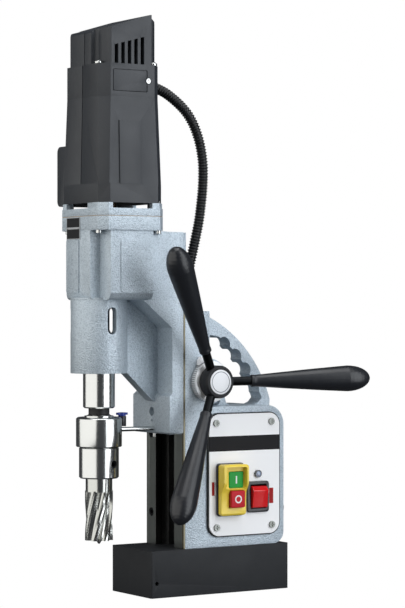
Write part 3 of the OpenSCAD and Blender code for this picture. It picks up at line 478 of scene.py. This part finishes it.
M = {
    "cast_paint": cast_paint(),
    "black_paint": plastic("black_base_enamel", (0.135, 0.142, 0.155), (0.55, 0.68), 0.16, 1500, tint=(0.17, 0.178, 0.19), spec=0.3),
    "copper_coil": metal("copper_winding", (0.72, 0.38, 0.2), (0.25, 0.4), (1, 1, 1500), 0.3),
    "resin": plastic("potting_resin", (0.05, 0.05, 0.055), (0.2, 0.35), 0.1, 300),
    "dark_steel": metal("ground_dark_steel", (0.44, 0.455, 0.445), (0.28, 0.42), (900, 900, 1.5), 0.12),
    "black_oxide": metal("black_oxide_steel", (0.13, 0.135, 0.14), (0.3, 0.45), (300, 300, 300), 0.08),
    "brass": metal("drawn_brass", (0.38, 0.365, 0.31), (0.25, 0.38), (900, 900, 2), 0.1),
    "white_panel": panel_material(),
    "rubber": plastic("black_rubber", (0.05, 0.052, 0.058), (0.6, 0.75), 0.25, 900),
    "bright_steel": metal("bright_turned_steel", (0.80, 0.805, 0.80), (0.15, 0.24), (1.2, 1.2, 1400), 0.035),
    "black_plastic": plastic("grained_black_nylon", (0.155, 0.168, 0.188), (0.38, 0.5), 0.22, 2000, tint=(0.225, 0.24, 0.265)),
    "black_gloss": plastic("gloss_black_plastic", (0.09, 0.095, 0.11), (0.22, 0.34), 0.05, 1200),
    "yellow_plastic": plastic("yellow_switch_plastic", (0.985, 0.86, 0.27), (0.3, 0.42), 0.06, 1400, coat=0.2, tint=(0.995, 0.90, 0.36)),
    "green_plastic": plastic("green_button_plastic", (0.12, 0.62, 0.24), (0.5, 0.6), 0.05, 1400, tint=(0.2, 0.68, 0.3), spec=0.3),
    "red_plastic": plastic("red_button_plastic", (0.80, 0.13, 0.22), (0.25, 0.36), 0.05, 1400, coat=0.2, tint=(0.85, 0.2, 0.28)),
    "red_clear": plastic("red_rocker_plastic", (0.86, 0.09, 0.11), (0.12, 0.2), 0.03, 1200, coat=0.6, tint=(0.92, 0.16, 0.17)),
    "led_lens": lens_material(),
    "pcb": pcb_material(),
    "bronze": metal("sintered_bronze", (0.7, 0.5, 0.3), (0.3, 0.45), (400, 400, 400), 0.15),
    "white_plastic": plastic("white_plastic", (0.92, 0.925, 0.94), (0.3, 0.4), 0.05, 1200, tint=(0.95, 0.955, 0.965)),
    "gear_steel": metal("cut_gear_steel", (0.55, 0.56, 0.57), (0.22, 0.36), (800, 2, 2), 0.1),
    "lever_black": plastic("satin_black_grip", (0.115, 0.122, 0.14), (0.27, 0.38), 0.08, 1800, tint=(0.15, 0.158, 0.178)),
    "lamination": lamination_material(),
    "cutter_steel": metal("ground_hss", (0.74, 0.745, 0.73), (0.14, 0.26), (1, 1, 700), 0.06),
    "blue_plastic": plastic("blue_tap_plastic", (0.12, 0.2, 0.55), (0.25, 0.35), 0.05, 1200, tint=(0.2, 0.3, 0.68)),
    "conduit": conduit_material(),
}

slot_of = {s["node"]: s["material_slot"] for s in frame["record"]["subparts"]}


def paint(ob, mat, slot=None):
    ob.data.materials.clear()
    ob.data.materials.append(mat)
    if slot:
        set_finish(ob, slot)


for name, ob in N.items():
    paint(ob, M[slot_of[name]])
    if "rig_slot" not in ob:
        pass

M["scale"] = scale_material()
M["emblem"] = emblem_material()
M["plate"] = plate_material()
M["arbor"] = arbor_material()
M["stop"] = stop_material()
M["mark"] = plastic("printed_white_mark", (0.93, 0.93, 0.92), (0.3, 0.4), 0.04, 1500)
M["gasket_paper"] = plastic("tan_gasket_paper", (0.66, 0.55, 0.42), (0.6, 0.75), 0.2, 900, tint=(0.74, 0.63, 0.5))
M["black_band"] = plastic("moulded_black_bezel", (0.10, 0.103, 0.11), (0.3, 0.42), 0.1, 1500)
M["zinc"] = metal("zinc_plated_screw", (0.47, 0.48, 0.465), (0.28, 0.4), (500, 500, 500), 0.1)
M["hub_black"] = plastic("satin_black_hub", (0.10, 0.105, 0.12), (0.5, 0.62), 0.08, 1800, tint=(0.13, 0.137, 0.155), spec=0.35)
SPECIAL = {"capstan_hub": "hub_black", "panel_screws": "zinc", "scale_ring": "scale", "hub_cap": "emblem", "label_plate": "plate", "arbor": "arbor", "stop_button": "stop"}
for name, key in SPECIAL.items():
    N[name].data.materials.clear()
    N[name].data.materials.append(M[key])
paint(conduit, M["conduit"])

# ------------------------------------------------------------------ softened copies of the CAD nodes


def soften(node, width=0.5, segments=2, angle=28, mat=None, dissolve=1.0, name=None):
    """A copy of a CAD node with its sharp edges broken, which stands for it."""
    src = N[node]
    bm = bmesh.new()
    bm.from_mesh(src.data)
    bmesh.ops.remove_doubles(bm, verts=bm.verts[:], dist=2e-6)
    bmesh.ops.dissolve_limit(bm, angle_limit=math.radians(dissolve), verts=bm.verts[:], edges=bm.edges[:], use_dissolve_boundaries=False)
    me = bpy.data.meshes.new(node + "_soft")
    bm.to_mesh(me)
    bm.free()
    ob = bpy.data.objects.new(name or node + "_shaped", me)
    scene.collection.objects.link(ob)
    paint(ob, mat or M[SPECIAL.get(node, slot_of[node])], slot_of[node])
    md = ob.modifiers.new("edges", "BEVEL")
    md.width = width * mm
    md.segments = segments
    md.limit_method = "ANGLE"
    md.angle_limit = math.radians(angle)
    md.use_clamp_overlap = True
    md.harden_normals = False
    md.miter_outer = "MITER_ARC"
    dg = bpy.context.evaluated_depsgraph_get()
    new = bpy.data.meshes.new_from_object(ob.evaluated_get(dg))
    ob.modifiers.clear()
    ob.data = new
    for p in new.polygons:
        p.use_smooth = True
    new.set_sharp_from_angle(angle=math.radians(32))
    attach(ob, src["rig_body"])
    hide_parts(node)
    return ob


def smooth_cad(node, angle=30):
    pass


# ------------------------------------------------------------------ conduit rides between stand and motor
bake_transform(conduit)
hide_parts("conduit")
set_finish(conduit, "rubber")

# ------------------------------------------------------------------ softened edges on the CAD shapes
for node, width, seg in (
        ("stand_housing", 1.1, 3), ("spindle_barrel", 0.8, 2), ("slide_plate", 1.2, 3), ("gear_housing", 1.1, 3), ("gearbox_flange", 0.8, 2),
        ("motor_housing", 1.2, 3), ("motor_cap", 1.6, 4), ("side_box", 1.5, 3), ("magnet_base", 0.6, 2),
        ("panel_plate", 0.25, 1), ("panel_gasket", 0.2, 1), ("switch_base", 0.5, 2), ("switch_frame", 0.6, 3),
        ("start_button", 0.5, 2), ("stop_button", 0.6, 2), ("rocker_frame", 0.5, 2), ("magnet_rocker", 0.6, 3),
        ("brush_covers", 0.3, 2), ("capstan_hub", 0.5, 2), ("hub_cap", 0.35, 2), ("guide_rails", 0.4, 1),
        ("label_plate", 0.15, 1), ("index_plate", 0.5, 2), ("coolant_ring", 0.3, 2), ("coolant_elbow", 0.3, 2),
        ("coolant_tap", 0.5, 2), ("cap_screws", 0.3, 2), ("rail_screws", 0.25, 1), ("flange_screws", 0.25, 1),
        ("panel_screws", 0.2, 1), ("mains_gland", 0.5, 2), ("conduit_gland_lower", 0.4, 2), ("conduit_gland_upper", 0.4, 2),
        ("gib_strip", 0.2, 1), ("scale_ring", 0.4, 2)):
    soften(node, width, seg)

# ------------------------------------------------------------------ small visual pieces


def prism(name, outline, place, body, mat, slot, bevel=0.0, hole=None):
    """A thin part with a real outline: place(u, v, side) gives the point, side is 0 or 1."""
    bm = bmesh.new()
    loops = [outline] + ([hole] if hole else [])
    rings = [[[bm.verts.new(place(u, v, k)) for u, v in lp] for k in (0, 1)] for lp in loops]
    for r in rings:
        n = len(r[0])
        for i in range(n):
            bm.faces.new((r[0][i], r[0][(i + 1) % n], r[1][(i + 1) % n], r[1][i]))
    for k in (0, 1):
        if hole:
            n = len(outline)
            for i in range(n):
                bm.faces.new((rings[0][k][i], rings[0][k][(i + 1) % n], rings[1][k][(i + 1) % n], rings[1][k][i]))
        else:
            bm.faces.new(rings[0][k])
    bmesh.ops.recalc_face_normals(bm, faces=bm.faces[:])
    if bevel:
        bmesh.ops.bevel(bm, geom=bm.edges[:], offset=bevel * mm, segments=2, affect="EDGES", clamp_overlap=True)
    return mesh_obj(name, bm, body, mat, smooth=False, slot=slot)


def ring_pts(r, n, cy, cz):
    return [(cy + r * math.cos(2 * math.pi * i / n), cz + r * math.sin(2 * math.pi * i / n)) for i in range(n)]


def chamfered(a, b, c):
    return [(-a + c, -b), (a - c, -b), (a, -b + c), (a, b - c), (a - c, b), (-a + c, b), (-a, b - c), (-a, -b + c)]


PX1 = 39.2
prism("start_mark", [(13.6 - 0.8, 111.4), (13.6 + 0.8, 111.4), (13.6 + 0.8, 119.2), (13.6 - 0.8, 119.2)],
      lambda u, v, k: V(PX1 + 8.6 + 0.12 * k - 0.02, u - 0.8, v), "start_button", M["mark"], "white_plastic", 0.04)
prism("stop_mark", ring_pts(4.1, 40, 12.5, 95.9), lambda u, v, k: V(PX1 + 13 + 0.12 * k - 0.02, u, v), "stop_button", M["mark"], "white_plastic",
      0.0, hole=ring_pts(2.7, 40, 12.5, 95.9))
prism("joint_gasket", chamfered(43.85, 37.35, 8), lambda u, v, k: V(u, v - 105, 380.75 + 0.5 * k), "carriage", M["gasket_paper"], "rubber",
      0.0, hole=chamfered(43.4, 36.9, 8))


def rounded(y0, z0, y1, z1, r, n=8):
    pts = []
    for cy, cz, a0 in ((y1 - r, z0 + r, -90), (y1 - r, z1 - r, 0), (y0 + r, z1 - r, 90), (y0 + r, z0 + r, 180)):
        for i in range(n + 1):
            a = math.radians(a0 + 90 * i / n)
            pts.append((cy + r * math.cos(a), cz + r * math.sin(a)))
    return pts


pl = [N["panel_plate"].matrix_world @ v.co for v in N["panel_plate"].data.vertices]
py0, py1 = min(p.y for p in pl) / mm, max(p.y for p in pl) / mm
pz0, pz1 = min(p.z for p in pl) / mm, max(p.z for p in pl) / mm
prism("panel_edge_seal", rounded(py0 - 1.1, pz0 - 1.1, py1 + 1.1, pz1 + 1.1, 13.1), lambda u, v, k: V(36.3 + 2.2 * k, u, v), "stand", M["rubber"], "rubber",
      0.0, hole=rounded(py0 - 0.05, pz0 - 0.05, py1 + 0.05, pz1 + 0.05, 12.05))

# ------------------------------------------------------------------ stage, light
bm = bmesh.new()
bmesh.ops.create_uvsphere(bm, u_segments=48, v_segments=24, radius=9.0)
dome = mesh_obj("backdrop", bm, None)
kd = Mat("pale_backdrop")
paint(dome, kd.set((0, 0, 0, 1), 1.0, 0.0, Emission_Color=(1, 1, 1, 1), Emission_Strength=1.0, Specular_IOR_Level=0.0))
for o in (dome,):
    o.visible_diffuse = False
    o.visible_glossy = False
    o.visible_transmission = False
    o.visible_shadow = False


def area(name, loc, aim, size, radiance, color=(1, 1, 1)):
    l = bpy.data.lights.new(name, "AREA")
    l.shape = "RECTANGLE"
    l.size, l.size_y = size
    l.energy = radiance * math.pi * size[0] * size[1]
    l.color = color
    o = bpy.data.objects.new(name, l)
    o.location = loc
    o.rotation_euler = (Vector(aim) - Vector(loc)).to_track_quat("-Z", "Y").to_euler()
    scene.collection.objects.link(o)
    o.visible_camera = False
    return o


cam_r = Vector((0.5358, 0.8443, 0)); cam_d = Vector((-0.8443, 0.5358, 0))
mid = Vector((0, -0.06, 0.3))


def at(angle, dist, up=0.0):
    """A place around the object: angle is to the right of the viewing direction, in degrees."""
    a = math.radians(angle)
    return tuple(mid + cam_r * (dist * math.sin(a)) - cam_d * (dist * math.cos(a)) + Vector((0, 0, up)))


area("key_left", at(-60, 1.3, 0.25), mid, (3.0, 1.7), 1.3, (1.0, 0.99, 0.955))
area("key_right", at(58, 1.3, 0.25), mid, (1.0, 1.9), 2.9, (0.93, 0.965, 1.0))
area("top", at(20, 0.25, 1.5), mid, (1.3, 1.3), 3.0, (0.98, 0.99, 1))

world = bpy.data.worlds.new("studio")
scene.world = world
world.use_nodes = True
bg = world.node_tree.nodes["Background"]
bg.inputs["Color"].default_value = (0.055, 0.058, 0.062, 1)
bg.inputs["Strength"].default_value = 1.0
scene.view_settings.view_transform = "Standard"

bpy.context.view_layer.update()
